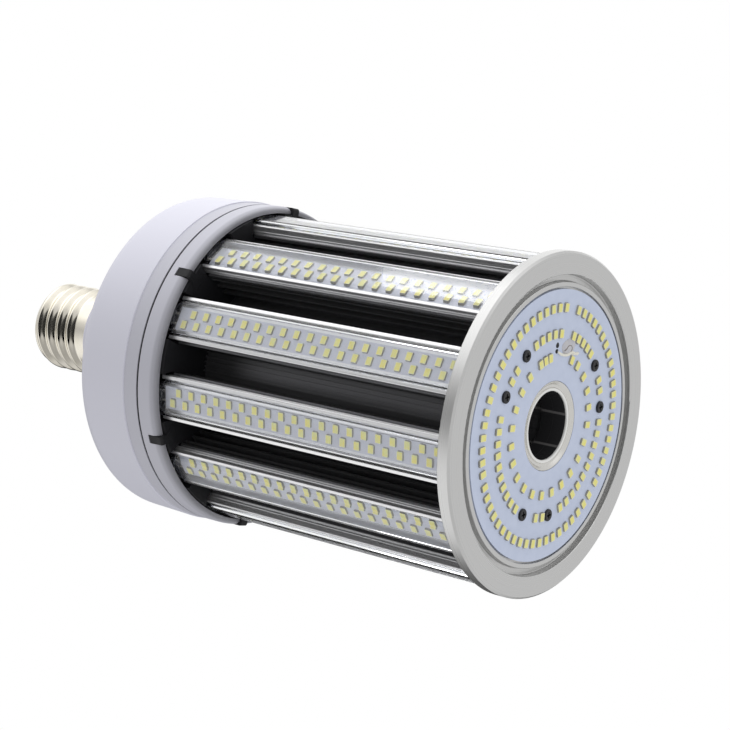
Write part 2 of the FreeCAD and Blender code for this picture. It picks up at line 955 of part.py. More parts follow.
def make_transformer():
    """Wound bobbin with a ferrite core round its middle."""
    length, width = transformer_size
    x, y = transformer_place
    bobbin = Part.makeBox(length, width * 0.8, transformer_height - 4,
                          Vector(x - length / 2, y - width * 0.4, driver_top))
    core = Part.makeBox(length * 0.6, width, transformer_core_height,
                        Vector(x - length * 0.3, y - width / 2, driver_top + 4))
    cap = Part.makeBox(length * 0.6, width * 0.5, transformer_height,
                       Vector(x - length * 0.3, y - width / 4, driver_top))
    return bobbin.fuse([core, cap]).removeSplitter()


def make_choke():
    """Wound ring core lying on the driver board."""
    x, y = choke_place
    return Part.makeTorus(choke_radius, choke_tube, Vector(x, y, driver_top + choke_tube))


def make_capacitors():
    """Round capacitors with a cross of vent lines on top."""
    cans = []
    for x, y in capacitor_places:
        can = disc(capacitor_radius, driver_top, driver_top + capacitor_height, x, y)
        line = Part.makeBox(capacitor_radius, capacitor_vent_width, capacitor_vent_depth,
                            Vector(x - capacitor_radius / 2, y - capacitor_vent_width / 2,
                                   driver_top + capacitor_height - capacitor_vent_depth))
        cans.append(can.cut(line))
    return Part.makeCompound(cans)


def make_lead(points):
    """Round wire along straight runs joined by arcs."""
    corners = [(Vector(*point), lead_bend) for point in points]
    path = Part.Wire(rounded_edges(corners, False))
    start = corners[0][0]
    heading = corners[1][0] - start
    circle = Part.Wire(Part.Circle(start, heading, wire_radius).toShape())
    return path.makePipeShell([circle], True, False)


def make_board_leads():
    """Two wires from the driver board, through the rear plate and the core, to the front board."""
    leads = []
    for x, y in wire_spots():
        leads.append(disc(wire_radius, ring_seat, driver_seat, x, y))
    return Part.makeCompound(leads)


def make_mains_leads():
    """Wires from the driver board into the cap, one to the contact and one to the shell."""
    stem_end = cap_end - cap_sheet - insulator_flange - 1
    bore_side = nipple_bore * 0.5
    shell_inside = math.sqrt((cap_root_radius - cap_sheet) ** 2 - wire_radius ** 2)
    free_height = (neck_end + nipple_length + cap_end - insulator_flange) / 2
    x, y = live_lead_foot
    live = make_lead([(x, y, driver_top), (x, y, drum_end), (0, 0, cone_end), (0, 0, stem_end)])
    x, y = neutral_lead_foot
    neutral = make_lead([(x, y, driver_top), (x, y, drum_end), (bore_side, 0, cone_end + lead_bend),
                         (bore_side, 0, free_height), (shell_inside, 0, free_height)])
    return Part.makeCompound([live, neutral])


def save(name, shape):
    """Write one node."""
    shape.exportStep("parts/" + name + ".step")


def main():
    """Build every piece and write it."""
    save("heat_sink", make_heat_sink())
    carrier = make_carrier()
    board = make_strip_board()
    cover = make_cover()
    for index in range(strip_count):
        degrees = index * strip_step
        number = "%02d" % (index + 1)
        save("strip_carrier_" + number, at_angle(carrier, degrees))
        save("strip_board_" + number, at_angle(board, degrees))
        save("strip_cover_" + number, at_angle(cover, degrees))
    save("strip_leds", make_strip_leds())
    save("front_ring", make_front_ring())
    save("front_board", make_front_board())
    save("front_leds", make_front_leds())
    save("sink_screws", make_sink_screws())
    save("vent_collar", make_vent_collar())
    save("wire_seal", make_wire_seal())
    save("rear_plate", make_rear_plate())
    save("link_board", make_link_board())
    save("strip_pins", make_strip_pins())
    save("housing_rim", make_housing_rim())
    save("housing_gasket", make_gasket())
    save("driver_housing", make_housing())
    save("cap_shell", make_cap_shell())
    save("cap_insulator", make_insulator())
    save("cap_contact", make_contact())
    save("driver_board", make_driver_board())
    save("driver_standoffs", make_standoffs())
    save("driver_transformer", make_transformer())
    save("driver_choke", make_choke())
    save("driver_capacitors", make_capacitors())
    save("board_leads", make_board_leads())
    save("mains_leads", make_mains_leads())


main()
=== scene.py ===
import math

import bmesh
import bpy
import numpy as np
from mathutils import Matrix, Vector


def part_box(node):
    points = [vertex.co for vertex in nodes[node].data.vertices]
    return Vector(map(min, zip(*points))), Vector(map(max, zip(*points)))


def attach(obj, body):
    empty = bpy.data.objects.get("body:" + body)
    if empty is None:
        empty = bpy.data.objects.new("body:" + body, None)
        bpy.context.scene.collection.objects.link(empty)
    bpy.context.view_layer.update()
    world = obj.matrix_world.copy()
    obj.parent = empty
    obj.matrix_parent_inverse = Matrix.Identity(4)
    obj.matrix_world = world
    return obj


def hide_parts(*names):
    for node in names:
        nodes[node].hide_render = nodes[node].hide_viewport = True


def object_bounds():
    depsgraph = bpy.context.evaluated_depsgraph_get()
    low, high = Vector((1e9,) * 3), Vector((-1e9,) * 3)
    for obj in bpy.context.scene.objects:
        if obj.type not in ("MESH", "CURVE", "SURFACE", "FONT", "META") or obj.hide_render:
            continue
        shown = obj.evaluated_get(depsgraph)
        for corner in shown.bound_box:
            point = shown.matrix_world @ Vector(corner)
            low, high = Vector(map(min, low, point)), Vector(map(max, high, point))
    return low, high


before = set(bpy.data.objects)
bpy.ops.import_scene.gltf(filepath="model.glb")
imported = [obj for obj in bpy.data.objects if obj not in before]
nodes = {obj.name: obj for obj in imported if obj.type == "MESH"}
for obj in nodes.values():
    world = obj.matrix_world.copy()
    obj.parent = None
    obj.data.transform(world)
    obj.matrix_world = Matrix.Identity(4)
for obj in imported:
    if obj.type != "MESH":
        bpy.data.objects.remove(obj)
cad_low, cad_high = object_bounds()

scene = bpy.context.scene
scene.view_settings.view_transform = "Standard"

# Camera. The lamp lies on its side in the picture, with the lit front to the right and a
# little towards the viewer, so the camera is low in front of the lamp and rolled.
camera_place = Vector((0.19836, -0.58893, -0.37264))
aim_point = Vector((0.00865, 0.00277, 0.09281))
camera_roll = math.radians(78.756)

forward = (aim_point - camera_place).normalized()
level_side = forward.cross(Vector((0, 0, 1))).normalized()
camera_up = level_side.cross(forward) * math.cos(camera_roll) + level_side * math.sin(camera_roll)
camera_right = forward.cross(camera_up)
camera_data = bpy.data.cameras.new("camera")
camera_data.sensor_width = 36.0
camera_data.lens = 93.47
camera_data.clip_start = 0.01
camera_data.clip_end = 20
camera = bpy.data.objects.new("camera", camera_data)
turn = Matrix((camera_right, camera_up, -forward)).transposed().to_4x4()
camera.matrix_world = Matrix.Translation(camera_place) @ turn
scene.collection.objects.link(camera)
scene.camera = camera

# World. The background is plain white, and an even soft room lights the surfaces. Shiny ones
# mirror a room with bright panels and dark screens: each has a direction, the cosines at which
# it begins and is full, and what it adds to the level.
room_level = 0.65
mirror_level = 0.76
window = ((0.82, -0.07, 0.56), 0.72, 0.95, 0.75)
back_panel = ((0.15, 0.80, 0.58), 0.75, 0.97, 0.45)
low_panel = ((-0.60, -0.62, 0.50), 0.80, 0.97, 0.35)
dark_corner = ((-0.58, 0.52, 0.62), 0.70, 0.95, -0.75)
side_panel = ((0.93, 0.15, -0.10), 0.70, 0.90, 0.45)
dark_screen = ((0.27, -0.96, -0.13), 0.77, 0.85, -0.74)
low_screen = ((-0.72, -0.68, -0.10), 0.75, 0.95, -0.30)
tripod = ((0.19, -0.81, 0.55), 0.96, 0.995, -0.35)

world = bpy.data.worlds.new("world")
world.use_nodes = True
scene.world = world
tree = world.node_tree
tree.nodes.clear()
direction = tree.nodes.new("ShaderNodeTexCoord")


def toward(side, begin, end, low, high):
    """Smooth level from low to high, as the direction turns towards a side."""
    lean = tree.nodes.new("ShaderNodeVectorMath")
    lean.operation = "DOT_PRODUCT"
    lean.inputs[1].default_value = Vector(side).normalized()
    tree.links.new(direction.outputs["Generated"], lean.inputs[0])
    level = tree.nodes.new("ShaderNodeMapRange")
    level.interpolation_type = "SMOOTHSTEP"
    level.inputs["From Min"].default_value = begin
    level.inputs["From Max"].default_value = end
    level.inputs["To Min"].default_value = low
    level.inputs["To Max"].default_value = high
    tree.links.new(lean.outputs["Value"], level.inputs["Value"])
    return level.outputs["Result"]


def background(strength):
    """White background shader whose strength is a number or a socket."""
    shader = tree.nodes.new("ShaderNodeBackground")
    shader.inputs["Color"].default_value = (1, 1, 1, 1)
    if isinstance(strength, float):
        shader.inputs["Strength"].default_value = strength
    else:
        tree.links.new(strength, shader.inputs["Strength"])
    return shader.outputs["Background"]


def mixed(share, first, second):
    """One of two shaders, by a share from 0 to 1."""
    mix = tree.nodes.new("ShaderNodeMixShader")
    tree.links.new(share, mix.inputs["Fac"])
    tree.links.new(first, mix.inputs[1])
    tree.links.new(second, mix.inputs[2])
    return mix.outputs["Shader"]


mirrored = None
for side, begin, end, change in (window, back_panel, low_panel, side_panel, dark_corner,
                                 dark_screen, low_screen, tripod):
    total = tree.nodes.new("ShaderNodeMath")
    total.operation = "ADD"
    if mirrored is None:
        total.inputs[0].default_value = mirror_level
    else:
        tree.links.new(mirrored, total.inputs[0])
    tree.links.new(toward(side, begin, end, 0.0, change), total.inputs[1])
    mirrored = total.outputs["Value"]
rays = tree.nodes.new("ShaderNodeLightPath")
seen = tree.nodes.new("ShaderNodeMath")
seen.operation = "MAXIMUM"
tree.links.new(rays.outputs["Is Camera Ray"], seen.inputs[0])
tree.links.new(rays.outputs["Is Transmission Ray"], seen.inputs[1])
surroundings = mixed(rays.outputs["Is Glossy Ray"], background(room_level), background(mirrored))
output = tree.nodes.new("ShaderNodeOutputWorld")
whole = mixed(seen.outputs["Value"], surroundings, background(1.0))
tree.links.new(whole, output.inputs["Surface"])


def add_lamp(name, side, distance, size, power):
    """Square soft lamp that faces the middle of the object, in metres and watts."""
    data = bpy.data.lights.new(name, "AREA")
    data.size = size
    data.energy = power
    lamp = bpy.data.objects.new(name, data)
    middle = (cad_low + cad_high) / 2
    away = Vector(side).normalized()
    lamp.rotation_mode = "QUATERNION"
    lamp.rotation_quaternion = (-away).to_track_quat("-Z", "Y")
    lamp.location = middle + away * distance
    scene.collection.objects.link(lamp)
    lamp.visible_glossy = False


add_lamp("key_lamp", (0.93, 0.25, 0.27), 0.9, 0.50, 4.5)
add_lamp("low_lamp", (-0.90, 0.32, 0.30), 0.9, 0.40, 2.3)
add_lamp("front_lamp", (0.12, -0.28, -0.95), 1.0, 0.30, 0.8)

# Floor. A plain pale disc just under the front ring that fades into the white background.
# Only the camera sees it, and from below it is clear, so it keeps no light from the front.
floor_drop = 0.0004
floor_radius = 1.4
floor_corners = 96
fade_start, fade_end = 0.15, 0.9

turns = np.linspace(0, 2 * math.pi, floor_corners, endpoint=False)
rim = np.stack([floor_radius * np.cos(turns), floor_radius * np.sin(turns),
                np.full(turns.size, -floor_drop)], axis=1)
floor_mesh = bpy.data.meshes.new("floor")
floor_mesh.from_pydata(rim.tolist(), [], [list(range(turns.size))])
floor = bpy.data.objects.new("floor", floor_mesh)
scene.collection.objects.link(floor)
floor.visible_diffuse = False
floor.visible_glossy = False
floor.visible_transmission = False
floor.visible_shadow = False
floor_paint = bpy.data.materials.new("floor_paint")
floor_paint.use_nodes = True
tree = floor_paint.node_tree
tree.nodes["Principled BSDF"].inputs["Base Color"].default_value = (0.92, 0.92, 0.92, 1)
tree.nodes["Principled BSDF"].inputs["Roughness"].default_value = 0.8
place = tree.nodes.new("ShaderNodeTexCoord")
reach = tree.nodes.new("ShaderNodeVectorMath")
reach.operation = "LENGTH"
tree.links.new(place.outputs["Object"], reach.inputs[0])
fade = tree.nodes.new("ShaderNodeMapRange")
fade.interpolation_type = "SMOOTHSTEP"
fade.inputs["From Min"].default_value = fade_start
fade.inputs["From Max"].default_value = fade_end
tree.links.new(reach.outputs["Value"], fade.inputs["Value"])
facing = tree.nodes.new("ShaderNodeNewGeometry")
gone = tree.nodes.new("ShaderNodeMath")
gone.operation = "MAXIMUM"
tree.links.new(fade.outputs["Result"], gone.inputs[0])
tree.links.new(facing.outputs["Backfacing"], gone.inputs[1])
clear = tree.nodes.new("ShaderNodeBsdfTransparent")
painted = mixed(gone.outputs["Value"], tree.nodes["Principled BSDF"].outputs["BSDF"],
                clear.outputs["BSDF"])
tree.links.new(painted, tree.nodes["Material Output"].inputs["Surface"])
floor_mesh.materials.append(floor_paint)

# Heat sink: one black anodised aluminium extrusion, cut to length. Its skin has the fine
# lengthwise lines of the die, and the anodic film gives it a dull sheen. Two paler seams run
# along its vent.
vent_wall = 0.0150
seam_directions = (84.0, 141.0)
seam_begin, seam_full = 0.9988, 0.9998
hard_edge = 0.00001
seam_rise = 0.0001


def start_material(name, colour, roughness, metallic=0.0):
    """Material with a Principled shader at these plain values. Gives both."""
    made = bpy.data.materials.new(name)
    made.use_nodes = True
    shader = made.node_tree.nodes["Principled BSDF"]
    shader.inputs["Base Color"].default_value = (*colour, 1)
    shader.inputs["Roughness"].default_value = roughness
    shader.inputs["Metallic"].default_value = metallic
    return made, shader


def grain(shader, scale, stretch=(1, 1, 1), detail=3.0):
    """Noise on the piece's own coordinates, per metre, squeezed along each axis by stretch."""
    tree = shader.id_data
    place = tree.nodes.new("ShaderNodeTexCoord")
    mapping = tree.nodes.new("ShaderNodeMapping")
    mapping.inputs["Scale"].default_value = stretch
    noise = tree.nodes.new("ShaderNodeTexNoise")
    noise.inputs["Scale"].default_value = scale
    noise.inputs["Detail"].default_value = detail
    tree.links.new(place.outputs["Object"], mapping.inputs["Vector"])
    tree.links.new(mapping.outputs["Vector"], noise.inputs["Vector"])
    return noise.outputs["Fac"]


def flat_place(shader):
    """Vector from the Z axis straight out to the point."""
    tree = shader.id_data
    place = tree.nodes.new("ShaderNodeTexCoord")
    flat = tree.nodes.new("ShaderNodeVectorMath")
    flat.operation = "MULTIPLY"
    flat.inputs[1].default_value = (1, 1, 0)
    tree.links.new(place.outputs["Object"], flat.inputs[0])
    return flat.outputs["Vector"]


def from_axis(shader):
    """Distance of the point from the Z axis, in metres."""
    tree = shader.id_data
    reach = tree.nodes.new("ShaderNodeVectorMath")
    reach.operation = "LENGTH"
    tree.links.new(flat_place(shader), reach.inputs[0])
    return reach.outputs["Value"]


def height_of(shader):
    """Height of the point, in metres."""
    tree = shader.id_data
    place = tree.nodes.new("ShaderNodeTexCoord")
    apart = tree.nodes.new("ShaderNodeSeparateXYZ")
    tree.links.new(place.outputs["Object"], apart.inputs["Vector"])
    return apart.outputs["Z"]


def share_of(shader, value, begin, end):
    """Smooth share from 0 to 1, as a value goes from begin to end."""
    tree = shader.id_data
    span = tree.nodes.new("ShaderNodeMapRange")
    span.interpolation_type = "SMOOTHSTEP"
    span.inputs["From Min"].default_value = begin
    span.inputs["From Max"].default_value = end
    tree.links.new(value, span.inputs["Value"])
    return span.outputs["Result"]


def tint(shader, share, colour):
    """Blends a colour over the base colour, by a share from 0 to 1."""
    tree = shader.id_data
    base = shader.inputs["Base Color"]
    blend = tree.nodes.new("ShaderNodeMix")
    blend.data_type = "RGBA"
    blend.inputs["B"].default_value = (*colour, 1)
    tree.links.new(share, blend.inputs["Factor"])
    if base.links:
        tree.links.new(base.links[0].from_socket, blend.inputs["A"])
    else:
        blend.inputs["A"].default_value = base.default_value
    tree.links.new(blend.outputs["Result"], base)


def combined(shader, operation, first, second):
    """Result of one sum, product or comparison of two numbers."""
    tree = shader.id_data
    step = tree.nodes.new("ShaderNodeMath")
    step.operation = operation
    tree.links.new(first, step.inputs[0])
    tree.links.new(second, step.inputs[1])
    return step.outputs["Value"]


def seams(shader, directions, radius, lowest):
    """Share of narrow lines along the Z axis: at these angles, inside a radius, above a height.

    A line shows where the cosine of the angle to its direction passes from begin to full.
    """
    tree = shader.id_data
    unit = tree.nodes.new("ShaderNodeVectorMath")
    unit.operation = "NORMALIZE"
    tree.links.new(flat_place(shader), unit.inputs[0])
    nearest = None
    for angle in np.radians(directions):
        near = tree.nodes.new("ShaderNodeVectorMath")
        near.operation = "DOT_PRODUCT"
        near.inputs[1].default_value = (math.cos(angle), math.sin(angle), 0)
        tree.links.new(unit.outputs["Vector"], near.inputs[0])
        if nearest is None:
            nearest = near.outputs["Value"]
        else:
            nearest = combined(shader, "MAXIMUM", nearest, near.outputs["Value"])
    line = share_of(shader, nearest, seam_begin, seam_full)
    inside = share_of(shader, from_axis(shader), radius, radius - hard_edge)
    above = share_of(shader, height_of(shader), lowest, lowest + seam_rise)
    return combined(shader, "MULTIPLY", combined(shader, "MULTIPLY", line, inside), above)


def turned_lines(shader, scale, detail=2.0):
    """Noise that depends only on the distance from the Z axis and the height: tool lines."""
    tree = shader.id_data
    pair = tree.nodes.new("ShaderNodeCombineXYZ")
    tree.links.new(from_axis(shader), pair.inputs["X"])
    tree.links.new(height_of(shader), pair.inputs["Z"])
    noise = tree.nodes.new("ShaderNodeTexNoise")
    noise.inputs["Scale"].default_value = scale
    noise.inputs["Detail"].default_value = detail
    tree.links.new(pair.outputs["Vector"], noise.inputs["Vector"])
    return noise.outputs["Fac"]


def vary(shader, factor, socket, low, high, start=0.3, end=0.7):
    """Carries a factor to a shader socket, as a number or a colour from low to high."""
    tree = shader.id_data
    if isinstance(low, tuple):
        ramp = tree.nodes.new("ShaderNodeValToRGB")
        ramp.color_ramp.elements[0].position = start
        ramp.color_ramp.elements[0].color = (*low, 1)
        ramp.color_ramp.elements[1].position = end
        ramp.color_ramp.elements[1].color = (*high, 1)
        tree.links.new(factor, ramp.inputs["Fac"])
        tree.links.new(ramp.outputs["Color"], shader.inputs[socket])
        return
    span = tree.nodes.new("ShaderNodeMapRange")
    span.inputs["From Min"].default_value = start
    span.inputs["From Max"].default_value = end
    span.inputs["To Min"].default_value = low
    span.inputs["To Max"].default_value = high
    tree.links.new(factor, span.inputs["Value"])
    tree.links.new(span.outputs["Result"], shader.inputs[socket])


def relief(shader, factor, height, strength=1.0):
    """Bump of that height in metres, on top of any bump that the shader already has."""
    tree = shader.id_data
    bump = tree.nodes.new("ShaderNodeBump")
    bump.inputs["Distance"].default_value = height
    bump.inputs["Strength"].default_value = strength
    tree.links.new(factor, bump.inputs["Height"])
    if shader.inputs["Normal"].links:
        tree.links.new(shader.inputs["Normal"].links[0].from_socket, bump.inputs["Normal"])
    tree.links.new(bump.outputs["Normal"], shader.inputs["Normal"])


def dress(node, material):
    """Gives a carried-over node its finish."""
    nodes[node].data.materials.clear()
    nodes[node].data.materials.append(material)


anodised, shader = start_material("anodised_black", (0.17, 0.17, 0.18), 0.36, 0.75)
drawn = grain(shader, 900, (1, 1, 0.02))
vary(shader, drawn, "Base Color", (0.15, 0.15, 0.16), (0.20, 0.20, 0.21))
vary(shader, drawn, "Roughness", 0.30, 0.42)
relief(shader, drawn, 0.00002, 0.6)
tint(shader, seams(shader, seam_directions, vent_wall, 0.0), (0.6, 0.59, 0.58))
relief(shader, grain(shader, 9000), 0.000006, 0.5)
dress("heat_sink", anodised)

# Strip carriers: twelve silver anodised aluminium channels, extruded and cut to length. Each
# has a floor on the heat sink's land, two lips that hold the cover, and grooved sides.
strip_count = 12
carrier_taper = 0.78
carrier_flange = 0.5
carrier_floor = 0.9
lip_width = 1.68
groove_depth = 0.25
groove_round = 0.06
low_groove_width = 0.4
high_groove_start, high_groove_end = 1.1, 2.5
lip_round = 0.32
lip_lean = 0.25
edge_round = 0.12


def box_mm(node):
    """Lowest and highest corner of a node, in millimetres."""
    low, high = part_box(node)
    return np.array(low) * 1000, np.array(high) * 1000


def rounded_outline(corners, arc_points=5):
    """Closed line round the corners (a, b, radius), each rounded by an arc that meets both runs.

    The arc starts where the corner's two unit directions are cut at radius over the tangent of
    half the angle, at most 0.49 of the shorter run, and turns about the centre on their
    bisector. All corners go at once.
    """
    corners = np.array(corners, float)
    points, radius = corners[:, :2], corners[:, 2]
    back = np.roll(points, 1, axis=0) - points
    ahead = np.roll(points, -1, axis=0) - points
    back_length = np.linalg.norm(back, axis=1)
    ahead_length = np.linalg.norm(ahead, axis=1)
    back = back / back_length[:, None]
    ahead = ahead / ahead_length[:, None]
    half = np.arccos(np.clip((back * ahead).sum(1), -1, 1)) / 2
    reach = np.minimum(radius / np.tan(half), 0.49 * np.minimum(back_length, ahead_length))
    radius = reach * np.tan(half)
    bisector = back + ahead
    bisector = bisector / np.maximum(np.linalg.norm(bisector, axis=1), 1e-9)[:, None]
    centre = points + bisector * (radius / np.sin(half))[:, None]
    start = points + back * reach[:, None] - centre
    side = np.sign(back[:, 1] * ahead[:, 0] - back[:, 0] * ahead[:, 1])
    angle = (side * (math.pi - 2 * half))[:, None] * np.linspace(0, 1, arc_points)[None, :]
    x = centre[:, :1] + start[:, :1] * np.cos(angle) - start[:, 1:] * np.sin(angle)
    y = centre[:, 1:] + start[:, :1] * np.sin(angle) + start[:, 1:] * np.cos(angle)
    line = np.stack([x, y], axis=2).reshape(-1, 2)
    apart = np.linalg.norm(line - np.roll(line, 1, axis=0), axis=1) > 1e-6
    return line[apart]


def grid_faces(rows, columns, wrap_rows=False, wrap_columns=False):
    """Quads of a grid whose points are numbered row by row."""
    row = np.arange(rows if wrap_rows else rows - 1)
    column = np.arange(columns if wrap_columns else columns - 1)
    row, column = np.meshgrid(row, column, indexing="ij")
    next_row = (row + 1) % rows
    next_column = (column + 1) % columns
    quads = [row * columns + column, next_row * columns + column,
             next_row * columns + next_column, row * columns + next_column]
    return np.stack([q.ravel() for q in quads], axis=1)


def add_piece(name, points, faces, materials, replaced, finish_index=None,
              merge=False, sharp=35.0):
    """Puts a surface, in millimetres, into the scene as one piece on the lamp's body."""
    mesh = bpy.data.meshes.new(name)
    mesh.from_pydata((np.asarray(points) / 1000).tolist(), [], faces)
    for material in materials:
        mesh.materials.append(material)
    if finish_index is not None:
        mesh.polygons.foreach_set("material_index", np.asarray(finish_index, np.int32))
    if merge:
        made = bmesh.new()
        made.from_mesh(mesh)
        bmesh.ops.remove_doubles(made, verts=made.verts, dist=1e-7)
        bmesh.ops.dissolve_degenerate(made, edges=made.edges, dist=1e-7)
        made.to_mesh(mesh)
        made.free()
    mesh.shade_smooth()
    mesh.set_sharp_from_angle(angle=math.radians(sharp))
    mesh.update()
    piece = bpy.data.objects.new(name, mesh)
    scene.collection.objects.link(piece)
    weighted = piece.modifiers.new("even_shading", "WEIGHTED_NORMAL")
    weighted.keep_sharp = True
    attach(piece, "root")
    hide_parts(*replaced)


def on_strip(points, index):
    """Points (out from the axis, sideways, along the axis), turned to one strip's place."""
    angle = 2 * math.pi * index / strip_count
    out, side, along = points[:, 0], points[:, 1], points[:, 2]
    return np.stack([out * math.cos(angle) - side * math.sin(angle),
                     out * math.sin(angle) + side * math.cos(angle), along], axis=1)


def extruded(outline, low, high):
    """Points and faces of a bar along the axis: the outline at both ends, closed by its ends."""
    count = len(outline)
    points = np.vstack([np.column_stack([outline, np.full(count, z)]) for z in (low, high)])
    sides = grid_faces(2, count, wrap_columns=True)[:, ::-1]
    ends = [list(range(count))[::-1], list(range(count, 2 * count))]
    return points, sides.tolist() + ends


carrier_low, carrier_high = box_mm("strip_carrier_01")
base, top, half_width = carrier_low[0], carrier_high[0], carrier_high[1]
flange = base + carrier_flange
slope = carrier_taper / (top - flange)
foot_half = half_width - carrier_taper
inner_half = half_width - lip_width


def wall_half(height):
    """Half width of the channel's leaning side wall at a distance from the axis."""
    return foot_half + slope * (height - flange)


low_groove_end = flange + low_groove_width
high_groove_low, high_groove_high = flange + high_groove_start, flange + high_groove_end
half_corners = [
    (base, foot_half, edge_round),
    (flange, foot_half, edge_round),
    (flange, foot_half - groove_depth, groove_round),
    (low_groove_end, foot_half - groove_depth, groove_round),
    (low_groove_end, wall_half(low_groove_end), edge_round),
    (high_groove_low, wall_half(high_groove_low), edge_round),
    (high_groove_low, wall_half(high_groove_low) - groove_depth, groove_round),
    (high_groove_high, wall_half(high_groove_high) - groove_depth, groove_round),
    (high_groove_high, wall_half(high_groove_high), edge_round),
    (top - lip_lean, half_width, lip_round),
    (top, inner_half, lip_round),
    (base + carrier_floor, inner_half, edge_round),
]
channel = rounded_outline(half_corners + [(a, -b, r) for a, b, r in half_corners[::-1]])

silver, shader = start_material("silver_anodised", (0.84, 0.84, 0.85), 0.30, 0.84)
drawn = grain(shader, 700, (1, 1, 0.01))
vary(shader, drawn, "Base Color", (0.82, 0.82, 0.835), (0.87, 0.87, 0.88))
vary(shader, drawn, "Roughness", 0.26, 0.33)
relief(shader, drawn, 0.000003, 0.3)
for index in range(strip_count):
    number = "%02d" % (index + 1)
    points, faces = extruded(channel, carrier_low[2], carrier_high[2])
    add_piece("carrier_channel_" + number, on_strip(points, index), faces, [silver],
              ["strip_carrier_" + number])

# Strip boards: narrow aluminium circuit boards, coated white with a cool cast, glued to the
# floor of each channel.


def coat(name, low, high):
    """Solder mask: a coloured coat with a faint sheen. Varies between the two colours."""
    made, shader = start_material(name, low, 0.42)
    shader.inputs["Coat Weight"].default_value = 0.2
    shader.inputs["Coat Roughness"].default_value = 0.25
    vary(shader, grain(shader, 260), "Base Color", low, high)
    relief(shader, grain(shader, 5000), 0.000006, 0.5)
    return made


coating = coat("strip_coating", (0.64, 0.66, 0.74), (0.69, 0.71, 0.79))
for index in range(strip_count):
    dress("strip_board_%02d" % (index + 1), coating)

# Diodes: small white packages with a window of yellow phosphor and a tinned pad at each end.
# They are soldered in two staggered rows on every strip, and in three rings on the front.
case_long, case_wide, case_high = 3.5, 2.8, 0.78
case_draft = 0.07
rim_width = 0.09
window_drop = 0.06
corner_cut = 0.22
pad_reach, pad_wide, pad_high = 0.22, 2.1, 0.12
pad_tuck = 0.1


def package():
    """One diode lying at the origin, long side along X, foot at 0 and window up.

    Rings with eight corners are stacked from the foot to the window's edge, and a wide face
    closes each end. Two low blocks are the pads, tucked a little under the case. Gives points,
    faces and finishes: 0 the case, 1 the window, 2 the pads, 3 the case's sides, in painted shade.
    """
    foot = np.array([case_long / 2, case_wide / 2])
    steps = np.array([(0, 0.0), (case_draft, case_high), (case_draft + rim_width, case_high),
                      (case_draft + rim_width + window_drop, case_high - window_drop)])
    size = np.column_stack([foot[None, :] - steps[:, :1], steps[:, 1]])
    corner = np.array([(1, -1, 0, 1), (1, 1, 0, -1), (1, 1, -1, 0), (-1, 1, 1, 0),
                       (-1, 1, 0, -1), (-1, -1, 0, 1), (-1, -1, 1, 0), (1, -1, -1, 0)], float)
    x = size[:, None, 0] * corner[None, :, 0] + corner_cut * corner[None, :, 2]
    y = size[:, None, 1] * corner[None, :, 1] + corner_cut * corner[None, :, 3]
    z = np.broadcast_to(size[:, None, 2], x.shape)
    rings = np.stack([x, y, z], axis=2).reshape(-1, 3)
    faces = grid_faces(4, 8, wrap_columns=True)[:, [0, 3, 2, 1]].tolist()
    finishes = [3] * 8 + [0] * (len(faces) - 8)
    faces.extend([list(range(8))[::-1], list(range(24, 32))])
    finishes.extend([0, 1])
    around = ((0, -1), (1, -1), (1, 1), (0, 1))
    block = np.array([(a, b, c) for c in (0, 1) for a, b in around], float)
    block_faces = [(3, 2, 1, 0), (4, 5, 6, 7), (0, 1, 5, 4),
                   (1, 2, 6, 5), (2, 3, 7, 6), (3, 0, 4, 7)]
    parts = [rings]
    for end in (1, -1):
        start = sum(len(part) for part in parts)
        pad = block * (end * (pad_reach + pad_tuck), end * pad_wide / 2, pad_high)
        pad[:, 0] += end * (case_long / 2 - pad_tuck)
        parts.append(pad)
        faces.extend([[start + corner for corner in face] for face in block_faces])
        finishes.extend([2] * len(block_faces))
    return np.vstack(parts), faces, finishes


def copies(points, faces, finishes, turns):
    """The same mesh at many places, as 3 by 4 matrices: all the points in one product."""
    count = len(points)
    spread = np.einsum("kij,nj->kni", turns[:, :, :3], points) + turns[:, None, :, 3]
    spread_faces = []
    for index in range(len(turns)):
        spread_faces.extend([[corner + index * count for corner in face] for face in faces])
    return spread.reshape(-1, 3), spread_faces, finishes * len(turns)


case, shader = start_material("diode_case", (0.88, 0.86, 0.70), 0.45)
vary(shader, grain(shader, 3000), "Base Color", (0.86, 0.84, 0.66), (0.92, 0.90, 0.76))
phosphor, shader = start_material("diode_phosphor", (0.92, 0.88, 0.34), 0.40)
vary(shader, grain(shader, 420, detail=1.0), "Base Color", (0.88, 0.87, 0.36), (0.95, 0.86, 0.22))
solder, shader = start_material("solder", (0.42, 0.42, 0.44), 0.28, 1.0)
relief(shader, grain(shader, 2500), 0.00003, 0.5)
# The case's sides are a darker copy of the white case: painted shade on the side walls.
case_side_shade, shader = start_material("diode_case_side_shade", (0.39, 0.37, 0.31), 0.5)
vary(shader, grain(shader, 3000), "Base Color", (0.32, 0.31, 0.26), (0.46, 0.44, 0.36))
diode_finishes = [case, phosphor, solder, case_side_shade]

row_offset = 2.3
diode_pitch = 6.71
end_margin = 3.85
board_low, board_high = box_mm("strip_board_01")
board_top = board_high[0]
usable = board_high[2] - board_low[2] - 2 * end_margin - diode_pitch / 2
per_row = int(usable / diode_pitch) + 1
places = []
for index in range(strip_count):
    angle = 2 * math.pi * index / strip_count
    out = np.array([math.cos(angle), math.sin(angle), 0])
    across = np.array([-math.sin(angle), math.cos(angle), 0])
    along = np.array([0, 0, 1.0])
    for side, shift in ((1, 0), (-1, diode_pitch / 2)):
        for step in range(per_row):
            z = board_low[2] + end_margin + shift + step * diode_pitch
            spot = out * board_top + across * side * row_offset + along * z
            places.append(np.column_stack([across, along, out, spot]))
points, faces, finishes = copies(*package(), np.array(places))
add_piece("strip_diodes", points, faces, diode_finishes, ["strip_leds"], finishes)

